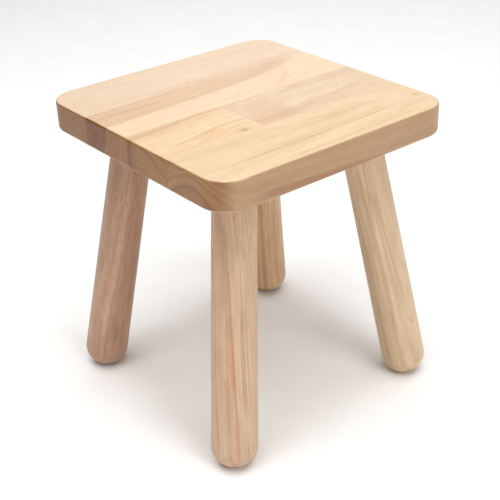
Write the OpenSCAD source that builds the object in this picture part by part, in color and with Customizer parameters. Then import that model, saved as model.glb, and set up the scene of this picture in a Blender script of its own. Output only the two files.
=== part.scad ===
// Small four-legged stool: a seat panel glued up from solid staves, and four turned, splayed legs.
// The origin is on the floor, below the middle of the seat. +Z is up, -Y is the front, and the grain of
// the seat runs front to back, along Y. Millimetres.

/* [Seat panel] */
// Width, across the staves
seat_w = 250; // [230:1:300]
// Depth, along the grain
seat_d = 245; // [225:1:300]
// Thickness of the panel
seat_t = 26.5; // [24:0.5:34]
// Height of the top face above the floor
seat_h = 276; // [240:1:340]
// Radius of the four corners in plan
corner_r = 25; // [15:1:32]
// Round-over along the top edge
top_round = 2; // [1.5:0.5:5]
// Round-over along the bottom edge
bottom_round = 3.5; // [1.5:0.5:5]

/* [Staves] */
// Width of the left edge stave
left_stave_w = 66.5; // [60:0.5:72]
// Width of the centre-left stave
centre_left_stave_w = 58.5; // [50:0.5:64]
// Width of the centre-right stave, which is finger-jointed from two lengths
centre_right_stave_w = 58; // [50:0.5:64]
// Distance from the front edge to the finger joint's line
finger_joint_y = 96.5; // [88:0.5:104]
// Number of fingers through the thickness
finger_count = 5; // [3:1:7]
// Length of a finger
finger_len = 10; // [6:1:14]
// Width of the flat at a finger's tip and root
finger_flat = 0.8; // [0.4:0.1:1.2]

/* [Legs] */
// Leg axis at the underside of the seat, from the middle in X
leg_top_x = 70; // [64:1:76]
// Leg axis at the underside of the seat, from the middle in Y
leg_top_y = 68; // [62:1:74]
// Leg axis at the floor, from the middle in X
leg_foot_x = 104; // [92:1:112]
// Leg axis at the floor, from the middle in Y
leg_foot_y = 106.5; // [94:0.5:114]
// Radius at the seat
leg_top_r = 18; // [16:0.5:19]
// Radius where the foot starts to round off
leg_foot_r = 20.25; // [19:0.25:23]
// Radius of the foot's round shoulder
shoulder_r = 18.5; // [12:0.5:19]
// Radius of the flatter crown at the foot's tip
crown_r = 36; // [28:1:60]

/* [Leg joints] */
// Depth of the angled recess that a leg's top sits in, on the leg's axis
recess_depth = 5.5; // [4.5:0.5:7]
// Length of leg above its taper that has one radius, from the top face down
leg_land = 12; // [10:1:20]
// Outer radius of the bolt's threads
bolt_r = 4; // [3:0.5:4]
// Length of bolt above the leg's top face, with a machine thread
bolt_machine_len = 13.5; // [11:0.5:14]
// Length of bolt in the leg, with a wood thread
bolt_wood_len = 30; // [20:1:40]
// Length of the threaded insert, with its flange
insert_len = 12; // [10:0.5:13]
// Radius of the insert's outer threads
insert_r = 6.5; // [6:0.25:7]
// Radius of the insert's flange
insert_flange_r = 7.5; // [7:0.25:8.5]
// Thickness of the insert's flange
insert_flange_t = 1.5; // [1:0.25:2]

/* [Hidden] */
CORNERS = ["front_left", "front_right", "rear_left", "rear_right"];
$fn = 96;

// Where the staves meet, in X
glue_1 = -seat_w / 2 + left_stave_w;
glue_2 = glue_1 + centre_left_stave_w;
glue_3 = glue_2 + centre_right_stave_w;
// Where the two lengths of the centre-right stave meet, in Y
joint_y = -seat_d / 2 + finger_joint_y;
underside_z = seat_h - seat_t;

// A leg's splay
splay_x = leg_foot_x - leg_top_x;
splay_y = leg_foot_y - leg_top_y;
splay_angle = atan(norm([splay_x, splay_y]) / underside_z);

// The foot: a shoulder ring of radius shoulder_r whose centre circle has this radius, and a crown
ring_r = leg_foot_r - shoulder_r;
crown_drop = sqrt(pow(crown_r - shoulder_r, 2) - pow(ring_r, 2));
crown_angle = atan2(crown_drop, ring_r);
// Axial distance from a leg's top face to its ring, at which the tilted foot just touches the floor
ring_t = recess_depth + (underside_z - shoulder_r - ring_r * sin(splay_angle)) / cos(splay_angle);

// Threads: each is a row of annular ridges of these pitches and depths
machine_pitch = 1.25;
machine_depth = 0.7;
wood_pitch = 3;
wood_depth = 1.1;
insert_pitch = 2.5;
insert_depth = 0.9;
// Share of the pitch that a ridge's flat crest takes
crest_share = 0.2;
// Plain length of bolt between its two threads, centred on the leg's top face
plain_shank = 1.5;
end_chamfer = 0.6;
wood_tip_len = 5;
wood_tip_r = 0.4;
// Hexagonal drive at the insert's mouth
drive_across_flats = 9;
drive_depth = 2;
// Clearance round and above the bolt's end in the seat
bolt_clearance = 0.5;
bolt_end_gap = 1.5;

SEAT_COLOUR = "#f0d6b0";
HEART_COLOUR = "#e3bd92";
LEG_COLOUR = "#d2ab83";
STEEL_COLOUR = "#c9cbcd";

// ---------------------------------------------------------------- Seat panel

// A square of side r with its outer corner, at [r, r], rounded
module round_corner(r) {
    intersection() {
        square(r);
        circle(r);
    }
}

// Half of the panel's cross-section, from x = 0 to x = half, with z = 0 at the underside
module half_section(half) {
    square([half - top_round, seat_t]);
    square([half - bottom_round, seat_t - top_round]);
    translate([0, bottom_round])
        square([half, seat_t - top_round - bottom_round]);
    translate([half - top_round, seat_t - top_round])
        round_corner(top_round);
    translate([half - bottom_round, bottom_round])
        mirror([0, 1])
            round_corner(bottom_round);
}

// The panel's cross-section along Y
module section_y() {
    half_section(seat_d / 2);
    mirror([1, 0])
        half_section(seat_d / 2);
}

// Part of the panel between x0 and x1 that has no corner
module straight_run(x0, x1) {
    translate([x0, 0, underside_z])
        rotate([90, 0, 90])
            linear_extrude(x1 - x0)
                section_y();
}

// The rounded margin at the panel's right side: two corners and the edge between them
module right_margin() {
    corner_x = seat_w / 2 - corner_r;
    corner_y = seat_d / 2 - corner_r;
    for (side = [-1, 1])
        translate([corner_x, side * corner_y, underside_z])
            rotate([0, 0, side > 0 ? 0 : -90])
                rotate_extrude(angle = 90)
                    half_section(corner_r);
    translate([corner_x, corner_y, underside_z])
        rotate([90, 0, 0])
            linear_extrude(2 * corner_y)
                half_section(corner_r);
}

// The finger joint's line in Y and Z, from the underside up
function finger_line() =
    let (pitch = seat_t / finger_count, half_flat = finger_flat / 2)
    [for (i = [0 : finger_count - 1])
        each [
            [joint_y, i * pitch],
            [joint_y, i * pitch + half_flat],
            [joint_y + finger_len, (i + 0.5) * pitch - half_flat],
            [joint_y + finger_len, (i + 0.5) * pitch + half_flat],
            [joint_y, (i + 1) * pitch - half_flat]
        ],
    [joint_y, seat_t]];

// The centre-right stave's cross-section in Y and Z, in front of the finger joint
module front_length_section() {
    intersection() {
        section_y();
        polygon([[-seat_d, 0], each finger_line(), [-seat_d, seat_t]]);
    }
}

module rear_length_section() {
    intersection() {
        section_y();
        polygon([[seat_d, 0], each finger_line(), [seat_d, seat_t]]);
    }
}

module between_glue_lines(x0, x1) {
    translate([x0, 0, underside_z])
        rotate([90, 0, 90])
            linear_extrude(x1 - x0)
                children();
}

// ---------------------------------------------------------------- Turned pieces, on the leg's own axis
// Local +Z points down the leg, and z = 0 is the leg's top face, at the bottom of its recess.

// Moves a turned piece onto a leg's axis. side_x is 1 on the right, side_y is 1 at the rear.
module on_leg_axis(side_x, side_y) {
    translate([side_x * leg_top_x, side_y * leg_top_y, underside_z])
        rotate([0, 0, atan2(side_y * splay_y, side_x * splay_x)])
            rotate([0, 180 - splay_angle, 0])
                translate([0, 0, -recess_depth])
                    children();
}

// A row of ridges from z0 to z1: points [radius, z] between a core and a crest
function ridges(z0, z1, pitch, crest, depth) =
    let (count = floor((z1 - z0) / pitch), step = (z1 - z0) / count)
    [for (i = [0 : count - 1])
        each [
            [crest - depth, z0 + i * step],
            [crest, z0 + (i + 0.5 - crest_share / 2) * step],
            [crest, z0 + (i + 0.5 + crest_share / 2) * step]
        ],
    [crest - depth, z1]];

// Half-profile of a hanger bolt: machine thread above z = 0, wood thread with a point below
module bolt_profile() {
    machine_core_r = bolt_r - machine_depth;
    polygon([
        [0, -bolt_machine_len],
        [machine_core_r - end_chamfer, -bolt_machine_len],
        each ridges(-bolt_machine_len + end_chamfer, -plain_shank / 2, machine_pitch, bolt_r, machine_depth),
        each ridges(plain_shank / 2, bolt_wood_len - wood_tip_len, wood_pitch, bolt_r, wood_depth),
        [wood_tip_r, bolt_wood_len],
        [0, bolt_wood_len]
    ]);
}

// Half-profile of a threaded insert's outside, with its flange flush with the leg's top face
module insert_outer_profile() {
    polygon([
        [0, -insert_len],
        [insert_r - insert_depth - end_chamfer, -insert_len],
        each ridges(-insert_len + end_chamfer, -insert_flange_t, insert_pitch, insert_r, insert_depth),
        [insert_flange_r, -insert_flange_t],
        [insert_flange_r, 0],
        [0, 0]
    ]);
}

// Half-profile of a leg: land, taper, round shoulder and crowned tip
module leg_profile() {
    square([leg_top_r, leg_land]);
    polygon([
        [0, leg_land],
        [leg_top_r, leg_land],
        [leg_foot_r, ring_t],
        [0, ring_t]
    ]);
    // Round shoulder, as a wedge of the ring's circle
    intersection() {
        translate([ring_r, ring_t])
            circle(shoulder_r);
        polygon([
            [ring_r, ring_t],
            [ring_r + 2 * shoulder_r, ring_t],
            [ring_r + 2 * shoulder_r, ring_t + 2 * shoulder_r],
            [ring_r + 2 * shoulder_r * cos(crown_angle), ring_t + 2 * shoulder_r * sin(crown_angle)]
        ]);
    }
    // Crowned tip, as a wedge of the crown's circle
    intersection() {
        translate([0, ring_t - crown_drop])
            circle(crown_r);
        polygon([
            [0, ring_t],
            [ring_r, ring_t],
            [ring_r + 2 * shoulder_r * cos(crown_angle), ring_t + 2 * shoulder_r * sin(crown_angle)],
            [0, ring_t + 2 * shoulder_r * sin(crown_angle)]
        ]);
    }
}

// ---------------------------------------------------------------- Cuts in the seat

// Recess, insert pocket and bolt clearance of one leg
module leg_socket(side_x, side_y) {
    on_leg_axis(side_x, side_y) {
        cylinder(h = 2 * recess_depth + leg_top_r, r = leg_top_r);
        rotate_extrude()
            insert_outer_profile();
        translate([0, 0, -bolt_machine_len - bolt_end_gap])
            cylinder(h = bolt_machine_len, r = bolt_r + bolt_clearance);
    }
}

module leg_sockets(side_x) {
    for (side_y = [-1, 1])
        leg_socket(side_x, side_y);
}

// ---------------------------------------------------------------- Sub-parts

module seat_stave_left() {
    color(SEAT_COLOUR)
        difference() {
            union() {
                mirror([1, 0, 0])
                    right_margin();
                straight_run(-seat_w / 2 + corner_r, glue_1);
            }
            leg_sockets(-1);
        }
}

module seat_stave_centre_left() {
    color(HEART_COLOUR)
        difference() {
            straight_run(glue_1, glue_2);
            leg_sockets(-1);
        }
}

module seat_stave_centre_right_front() {
    color(SEAT_COLOUR)
        difference() {
            between_glue_lines(glue_2, glue_3)
                front_length_section();
            leg_socket(1, -1);
        }
}

module seat_stave_centre_right_rear() {
    color(HEART_COLOUR)
        difference() {
            between_glue_lines(glue_2, glue_3)
                rear_length_section();
            leg_socket(1, 1);
        }
}

module seat_stave_right() {
    color(SEAT_COLOUR)
        difference() {
            union() {
                right_margin();
                straight_run(glue_3, seat_w / 2 - corner_r);
            }
            leg_sockets(1);
        }
}

// A turned leg, bored for the wood-threaded end of its hanger bolt
module leg(side_x, side_y) {
    color(LEG_COLOUR)
        on_leg_axis(side_x, side_y)
            rotate_extrude()
                difference() {
                    leg_profile();
                    bolt_profile();
                }
}

module hanger_bolt(side_x, side_y) {
    color(STEEL_COLOUR)
        on_leg_axis(side_x, side_y)
            rotate_extrude()
                bolt_profile();
}

// A flanged threaded insert with a hexagonal drive at its mouth
module threaded_insert(side_x, side_y) {
    color(STEEL_COLOUR)
        on_leg_axis(side_x, side_y)
            difference() {
                rotate_extrude()
                    difference() {
                        insert_outer_profile();
                        bolt_profile();
                    }
                translate([0, 0, -drive_depth])
                    cylinder(h = 2 * drive_depth, d = drive_across_flats / cos(30), $fn = 6);
            }
}

seat_stave_left();
seat_stave_centre_left();
seat_stave_centre_right_front();
seat_stave_centre_right_rear();
seat_stave_right();
leg(-1, -1);  // leg_front_left
leg(1, -1);  // leg_front_right
leg(-1, 1);  // leg_rear_left
leg(1, 1);  // leg_rear_right
hanger_bolt(-1, -1);  // hanger_bolt_front_left
hanger_bolt(1, -1);  // hanger_bolt_front_right
hanger_bolt(-1, 1);  // hanger_bolt_rear_left
hanger_bolt(1, 1);  // hanger_bolt_rear_right
threaded_insert(-1, -1);  // threaded_insert_front_left
threaded_insert(1, -1);  // threaded_insert_front_right
threaded_insert(-1, 1);  // threaded_insert_rear_left
threaded_insert(1, 1);  // threaded_insert_rear_right
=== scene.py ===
"""Looks of a small four-legged stool: a seat of glued rubberwood staves on four turned, splayed legs.

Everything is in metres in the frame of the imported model: the origin is on the floor below the middle of
the seat, +Z is up, -Y is the front, and the grain of the seat runs along Y. The sizes that the classes hold
are in millimetres, as a joiner would write them. The studio's are in metres.
"""

import logging
import math
from dataclasses import dataclass
from enum import Enum

import bmesh
import bpy
from mathutils import Euler, Matrix, Vector


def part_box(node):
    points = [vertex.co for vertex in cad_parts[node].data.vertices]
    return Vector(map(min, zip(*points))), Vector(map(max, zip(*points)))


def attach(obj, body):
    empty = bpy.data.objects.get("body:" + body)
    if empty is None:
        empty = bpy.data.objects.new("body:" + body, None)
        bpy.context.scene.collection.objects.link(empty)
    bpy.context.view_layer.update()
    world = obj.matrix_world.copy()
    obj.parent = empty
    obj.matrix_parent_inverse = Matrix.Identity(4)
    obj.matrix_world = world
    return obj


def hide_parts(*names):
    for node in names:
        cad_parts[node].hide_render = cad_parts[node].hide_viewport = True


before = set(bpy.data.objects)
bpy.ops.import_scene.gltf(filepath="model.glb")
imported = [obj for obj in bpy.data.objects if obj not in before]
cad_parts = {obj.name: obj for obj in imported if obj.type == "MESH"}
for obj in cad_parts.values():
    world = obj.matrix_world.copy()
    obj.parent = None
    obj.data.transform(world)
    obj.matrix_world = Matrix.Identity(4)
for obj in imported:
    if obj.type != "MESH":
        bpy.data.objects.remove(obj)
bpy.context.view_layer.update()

log = logging.getLogger("stool")
MM = 0.001
BODY = "root"
# Edges that turn by more than this stay crisp
CRISP_ANGLE = math.radians(35)
# A smooth noise commonly swings this far from its middle, and nearly all of it lies in this span
NOISE_SWING = 0.25
NOISE_SPAN = (0.3, 0.7)
Point2 = tuple[float, float]
Point3 = tuple[float, float, float]
Mesh = bmesh.types.BMesh
Node = bpy.types.Node
NodeSocket = bpy.types.NodeSocket
Tree = bpy.types.NodeTree


def linear(hex_code: str) -> tuple[float, float, float, float]:
    """Turn an sRGB colour into linear light.

    Args:
        hex_code: The colour as "#rrggbb".

    Returns:
        Linear red, green and blue, and an alpha of 1.
    """
    channels = [int(hex_code[i : i + 2], 16) / 255 for i in (1, 3, 5)]
    return (*(c / 12.92 if c <= 0.04045 else ((c + 0.055) / 1.055) ** 2.4 for c in channels), 1.0)


def add(tree: Tree, kind: str, inputs: object = (), **settings: object) -> Node:
    """Add a node with its settings and links.

    Args:
        tree: The node tree that gets the node.
        kind: The node's type.
        inputs: A list in the order of the sockets, or a dict by socket name or number. An entry is a value, a
            socket, or a node, which stands for its first output in use.
        **settings: The node's properties.

    Returns:
        The new node.
    """
    node = tree.nodes.new(kind)
    for name, value in settings.items():
        setattr(node, name, value)
    for key, value in inputs.items() if isinstance(inputs, dict) else enumerate(inputs):
        if isinstance(value, Node):
            value = next(socket for socket in value.outputs if socket.enabled)
        if isinstance(value, NodeSocket):
            tree.links.new(value, node.inputs[key])
        elif value is not None:
            node.inputs[key].default_value = value
    return node


# ---------------------------------------------------------------- Finishes


class Finish:
    """A surface finish, which makes its material from its shader."""

    name: str

    def shader(self, tree: Tree) -> Node:
        """Add the finish's nodes to a tree, and return the shader."""
        raise NotImplementedError

    def material(self) -> bpy.types.Material:
        """Build the material.

        Returns:
            The finished material.
        """
        material = bpy.data.materials.new(self.name)
        material.use_nodes = True
        tree = material.node_tree
        tree.nodes.clear()
        add(tree, "ShaderNodeOutputMaterial", [self.shader(tree)])
        return material


def clouded(tree: Tree, size: float, detail: float, light: str, dark: str) -> tuple[Node, Node]:
    """Add soft clouds, and a colour that follows them.

    Args:
        tree: The material's tree.
        size: Size of a cloud, in millimetres.
        detail: Octaves of finer detail.
        light: One of the two colours.
        dark: The other colour.

    Returns:
        The clouds and the colour.
    """
    place = add(tree, "ShaderNodeTexCoord")
    clouds = add(
        tree, "ShaderNodeTexNoise",
        {"Vector": place.outputs["Object"], "Scale": 1 / (size * MM), "Detail": detail},
    )
    colour = add(tree, "ShaderNodeMix", {0: clouds, 6: linear(light), 7: linear(dark)}, data_type="RGBA")
    return clouds, colour


@dataclass(frozen=True)
class Knot:
    """A small knot in the face of a board, with the grain flowing round it. Millimetres.

    Attributes:
        across: Its middle, across the grain.
        along: Its middle, along the grain.
        radius: Radius of its dark core.
        bend: How far it pushes the grain aside.
        reach: How far away it still bends the grain.
        colour: Its colour.
        strength: The share of its colour that shows.
    """

    across: float
    along: float
    radius: float
    bend: float = 0.0
    reach: float = 40.0
    colour: str = "#8a5a38"
    strength: float = 0.7


@dataclass(frozen=True)
class Streak:
    """A line or band of darker wood, from one place (across, along the grain) to another. Millimetres.

    Attributes:
        start: Where it begins.
        end: Where it ends.
        half_width: Half its width, to where it has faded out.
        colour: Its colour at full strength.
        strength: The share of its colour that shows.
        lean: How far it moves across for each millimetre below the pith.
        level: Its middle, below the pith, where it does not run right through the board.
        half_level: Half its height, to where it has faded out; 0 where it runs right through.
    """

    start: Point2
    end: Point2
    half_width: float
    colour: str
    strength: float
    lean: float = 0.0
    level: float = 0.0
    half_level: float = 0.0


@dataclass(frozen=True)
class Heart:
    """Stained wood round the pith of a board, with a darker line at its rim. Millimetres."""

    radius: float
    colour: str
    strength: float
    rim_colour: str
    rim_width: float
    rim_strength: float


@dataclass(frozen=True)
class Rubberwood(Finish):
    """Rubberwood, planed or turned, sanded and finished with a satin clear lacquer.

    Rubberwood is a pale, even, straw-pink hardwood. Its growth rings are faint, and its open pores show as
    fine brown dashes along the grain and as dots on the ends. The lacquer gives a soft, wide highlight. Ends
    are browner than the planed faces, partly in their own colour and partly by painted shade, and the long
    sides can be darkened by painted shade alone. All patterns run on solid coordinates round the log's pith,
    so the grain on a face agrees with the grain on its end.

    Attributes:
        name: The material's name.
        pith: A point of the log's pith, in millimetres in the stool's frame.
        turn: Euler angles, in degrees, that turn +Z to the way the grain runs.
        pale: Colour of the early wood.
        deep: Colour of the late wood.
        seed: Picks this board's own pattern.
        end_tint: What the colour is multiplied by on end grain: partly the end grain's own browner colour,
        partly painted shade.
        painted_side_shade_tint: What the colour is multiplied by on a long side that faces across the board:
            painted shade.
        ring_spacing: Mean width of a growth ring, in millimetres.
        ring_contrast: How much the rings vary the tone.
        line_strength: How dark the thin lines between some of the rings are.
        mottle_contrast: How much cloudy patches vary the tone.
        fibre_contrast: How much single fibres vary the tone.
        wander: How far the rings wander from true circles, in millimetres.
        pore_strength: How dark the pores are.
        heart: The stained heart, if the board holds it.
        streaks: Darker lines along the grain.
        knots: Small knots.
    """

    name: str
    pith: Point3
    turn: Point3
    pale: str
    deep: str
    seed: float
    # The end tint is the end grain's own browner colour and painted shade on the shaded ends
    end_tint: str = "#c0a183"
    # Painted shade on the long sides that face across the board
    painted_side_shade_tint: str = "#ffffff"
    ring_spacing: float = 5.0
    ring_contrast: float = 0.9
    line_strength: float = 0.15
    mottle_contrast: float = 0.7
    fibre_contrast: float = 0.6
    wander: float = 3.0
    pore_strength: float = 0.18
    heart: Heart | None = None
    streaks: tuple[Streak, ...] = ()
    knots: tuple[Knot, ...] = ()

    # Pores are 0.2 mm wide and about a centimetre long; drawn three times as wide, so that they show
    PORE_WIDTH = 0.6
    PORE_LENGTH = 13.0
    # Single fibres are too fine to show; drawn as bundles of this width and length
    FIBRE_WIDTH = 1.1
    FIBRE_LENGTH = 55.0
    # The part of the pores' noise that is a pore, from its rim to its core
    PORE_EDGES = (0.56, 0.7)
    # How far the lacquer leaves a pore open, and how high the fibres telegraph through it
    PORE_DEPTH = 0.03
    FIBRE_HEIGHT = 0.02
    # Cloudy patches
    MOTTLE_ACROSS = 12.0
    MOTTLE_ALONG = 38.0
    # The slow wander of the rings
    WANDER_ACROSS = 45.0
    WANDER_ALONG = 160.0
    # Steps between one noise of a board and the next, and between the boards, so that none repeats another
    NOISE_STEP = 7.3
    SEED_STEP = 0.37
    NOISE_ROUGHNESS = 0.55
    # The thin lines: their pace and start against the rings, their width, and how they fade along the grain
    LINE_PACE = 0.6
    LINE_START = 31.0
    LINE_WIDTH = 0.035
    FADING_ACROSS = 20.0
    FADING_ALONG = 90.0
    FADING_EDGES = (0.38, 0.62)
    # The share of a streak's half length, and of its half height, that is at full strength
    STREAK_CORE = 0.6
    LEVEL_CORE = 0.3
    # A knot is longer along the grain than across it
    KNOT_SQUASH = 0.75
    # A knot's core and halo: radius and strength, as shares of the knot's own
    KNOT_LAYERS = ((1.0, 1.0), (3.5, 0.3))
    # The share of a knot's radius that is at full strength
    KNOT_CORE = 0.2
    # Dividing by more than a knot's bend keeps the grain from folding over itself
    FOLD_MARGIN = 1.1
    # Cosines at which a surface begins to face along an axis, and faces along it fully
    FACING_EDGES = (0.35, 0.9)
    # Rings and stains show more strongly on an end than on a face
    END_RING_CONTRAST = 0.9
    END_STAIN_BOOST = 1.5
    PORE_COLOUR = "#8f6645"
    LINE_COLOUR = "#a9784f"
    LACQUER_IOR = 1.5
    LACQUER_ROUGHNESS = (0.36, 0.44)

    def shader(self, tree: Tree) -> Node:
        """Add the nodes.

        Args:
            tree: The material's tree.

        Returns:
            The shader.
        """
        straight = self._straight(tree)
        grain = straight
        for knot in self.knots:
            if knot.bend:
                grain = self._bend(tree, grain, knot)
        end = self._facing(tree, (0.0, 0.0, 1.0))
        pores = self._pores(tree, grain)
        fibres = self._stretched(tree, grain, self.FIBRE_WIDTH, self.FIBRE_LENGTH, 3, detail=2.0)
        colour = self._figure(tree, grain, fibres, end)
        colour = self._stains(tree, grain, colour, end)
        colour = self._knots(tree, straight, colour)
        pore_share = add(tree, "ShaderNodeMath", [pores, self.pore_strength], operation="MULTIPLY")
        # How far a surface faces across the board, where painted shade darkens the long sides
        edge = self._facing(tree, (1.0, 0.0, 0.0))
        # The end tint gives end grain its own browner colour and adds painted shade; the edge tint is painted
        # shade
        for share, tint in ((pore_share, self.PORE_COLOUR), (end, self.end_tint), (edge, self.painted_side_shade_tint)):
            colour = add(
                tree, "ShaderNodeMix", {0: share, 6: colour, 7: linear(tint)},
                data_type="RGBA", blend_type="MULTIPLY",
            )
        relief = add(tree, "ShaderNodeMath", [pores, -self.PORE_DEPTH], operation="MULTIPLY")
        relief = add(tree, "ShaderNodeMath", [fibres, self.FIBRE_HEIGHT, relief], operation="MULTIPLY_ADD")
        bump = add(tree, "ShaderNodeBump", {"Strength": 1.0, "Distance": MM, "Height": relief})
        roughness = add(tree, "ShaderNodeMapRange", [fibres, *NOISE_SPAN, *self.LACQUER_ROUGHNESS])
        return add(
            tree, "ShaderNodeBsdfPrincipled",
            {"Base Color": colour, "Roughness": roughness, "IOR": self.LACQUER_IOR, "Normal": bump},
        )

    def _stretched(
        self, tree: Tree, grain: Node, across: float, along: float, shift: float,
        detail: float = 0.0,
    ) -> Node:
        """Add noise that is stretched along the grain.

        Args:
            tree: The material's tree.
            grain: The grain coordinates, in millimetres.
            across: Size of a patch across the grain.
            along: Size of a patch along the grain.
            shift: Sets this noise apart from the material's other noises.
            detail: Octaves of finer detail.

        Returns:
            The noise node, whose first output is its factor.
        """
        shifted = (self.seed, shift * self.NOISE_STEP, self.seed * self.SEED_STEP)
        scaled = add(
            tree, "ShaderNodeVectorMath", [grain, (1 / across, 1 / across, 1 / along), shifted],
            operation="MULTIPLY_ADD",
        )
        return add(
            tree, "ShaderNodeTexNoise",
            {"Vector": scaled, "Scale": 1.0, "Detail": detail, "Roughness": self.NOISE_ROUGHNESS},
        )

    def _straight(self, tree: Tree) -> Node:
        """Add coordinates in millimetres, with Z along the grain and the pith at the origin.

        Args:
            tree: The material's tree.

        Returns:
            The coordinates, bent by the log's slow wander.
        """
        place = add(tree, "ShaderNodeTexCoord")
        straight = add(
            tree, "ShaderNodeMapping",
            {
                "Vector": place.outputs["Object"],
                "Location": [value * MM for value in self.pith],
                "Rotation": [math.radians(angle) for angle in self.turn],
                "Scale": (MM, MM, MM),
            },
            vector_type="TEXTURE",
        )
        slow = self._stretched(tree, straight, self.WANDER_ACROSS, self.WANDER_ALONG, 1)
        centred = add(
            tree, "ShaderNodeVectorMath", [slow.outputs["Color"], (0.5, 0.5, 0.5)], operation="SUBTRACT"
        )
        reach = self.wander / NOISE_SWING
        return add(
            tree, "ShaderNodeVectorMath", [centred, (reach, reach, 0.0), straight], operation="MULTIPLY_ADD"
        )

    def _bend(self, tree: Tree, grain: Node, knot: Knot) -> Node:
        """Push the grain aside round a knot.

        Args:
            tree: The material's tree.
            grain: The grain coordinates.
            knot: The knot.

        Returns:
            The bent grain coordinates.
        """
        offset = add(
            tree, "ShaderNodeVectorMath", [grain, (knot.across, 0.0, knot.along)], operation="SUBTRACT"
        )
        shares = (1 / knot.reach, 0.0, 1 / knot.reach)
        scaled = add(tree, "ShaderNodeVectorMath", [offset, shares], operation="MULTIPLY")
        square = add(tree, "ShaderNodeVectorMath", [scaled, scaled], operation="DOT_PRODUCT")
        falling = add(tree, "ShaderNodeMath", [square.outputs["Value"], -1.0], operation="MULTIPLY")
        share = add(tree, "ShaderNodeMath", [falling], operation="EXPONENT")
        across = add(tree, "ShaderNodeSeparateXYZ", [offset]).outputs["X"]
        side = add(tree, "ShaderNodeMath", [across, 1 / (self.FOLD_MARGIN * knot.bend)], operation="MULTIPLY")
        side = add(tree, "ShaderNodeMath", [side], operation="TANH")
        push = add(tree, "ShaderNodeMath", [side, share], operation="MULTIPLY")
        push = add(tree, "ShaderNodeMath", [push, -knot.bend], operation="MULTIPLY")
        shift = add(tree, "ShaderNodeCombineXYZ", [push])
        return add(tree, "ShaderNodeVectorMath", [grain, shift], operation="ADD")

    def _radius(self, tree: Tree, grain: Node) -> NodeSocket:
        """Return the distance from the pith, in millimetres."""
        section = add(tree, "ShaderNodeVectorMath", [grain, (1.0, 1.0, 0.0)], operation="MULTIPLY")
        return add(tree, "ShaderNodeVectorMath", [section], operation="LENGTH").outputs["Value"]

    def _figure(
        self, tree: Tree, grain: Node, fibres: Node, end: Node
    ) -> Node:
        """Colour the growth rings, the cloudy patches and the fibres.

        Args:
            tree: The material's tree.
            grain: The grain coordinates.
            fibres: The noise of single fibres.
            end: The share of end grain.

        Returns:
            The wood's own colour, before stains, pores and end grain.
        """
        years = add(
            tree, "ShaderNodeMath", [self._radius(tree, grain), 1 / self.ring_spacing, self.seed],
            operation="MULTIPLY_ADD",
        )
        rings = add(
            tree, "ShaderNodeTexNoise", {"W": years, "Scale": 1.0, "Detail": 3.0, "Roughness": 0.6},
            noise_dimensions="1D",
        )
        mottle = self._stretched(tree, grain, self.MOTTLE_ACROSS, self.MOTTLE_ALONG, 2, detail=1.0)
        late = add(tree, "ShaderNodeMath", [rings, -0.5], operation="ADD")
        tone = add(tree, "ShaderNodeMath", [late, self.ring_contrast, 0.5], operation="MULTIPLY_ADD")
        for noise, share in ((mottle, self.mottle_contrast), (fibres, self.fibre_contrast)):
            tone = add(tree, "ShaderNodeMath", [noise, share, tone], operation="MULTIPLY_ADD")
            tone = add(tree, "ShaderNodeMath", [tone, 0.5 * share], operation="SUBTRACT")
        colour = add(
            tree, "ShaderNodeMix", {0: tone, 6: linear(self.pale), 7: linear(self.deep)}, data_type="RGBA"
        )
        shade = add(tree, "ShaderNodeMath", [late, end], operation="MULTIPLY")
        shade = add(tree, "ShaderNodeMath", [shade, -self.END_RING_CONTRAST, 1.0], operation="MULTIPLY_ADD")
        colour = add(tree, "ShaderNodeVectorMath", {0: colour, "Scale": shade}, operation="SCALE")
        # A thin line wherever another slow noise of the radius passes its middle
        slower = add(
            tree, "ShaderNodeMath", [years, self.LINE_PACE, self.LINE_START], operation="MULTIPLY_ADD"
        )
        course = add(
            tree, "ShaderNodeTexNoise", {"W": slower, "Scale": 1.0, "Detail": 1.0}, noise_dimensions="1D"
        )
        off = add(tree, "ShaderNodeMath", [course, 0.5], operation="SUBTRACT")
        off = add(tree, "ShaderNodeMath", [off], operation="ABSOLUTE")
        line = add(
            tree, "ShaderNodeMapRange", [off, 0.0, self.LINE_WIDTH, self.line_strength, 0.0],
            interpolation_type="SMOOTHSTEP",
        )
        # The lines come and go along the grain
        fading = self._stretched(tree, grain, self.FADING_ACROSS, self.FADING_ALONG, 5)
        fading = add(
            tree, "ShaderNodeMapRange", [fading, *self.FADING_EDGES, 0.0, 1.0],
            interpolation_type="SMOOTHSTEP",
        )
        line = add(tree, "ShaderNodeMath", [line, fading], operation="MULTIPLY")
        return add(
            tree, "ShaderNodeMix", {0: line, 6: colour, 7: linear(self.LINE_COLOUR)}, data_type="RGBA"
        )

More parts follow.
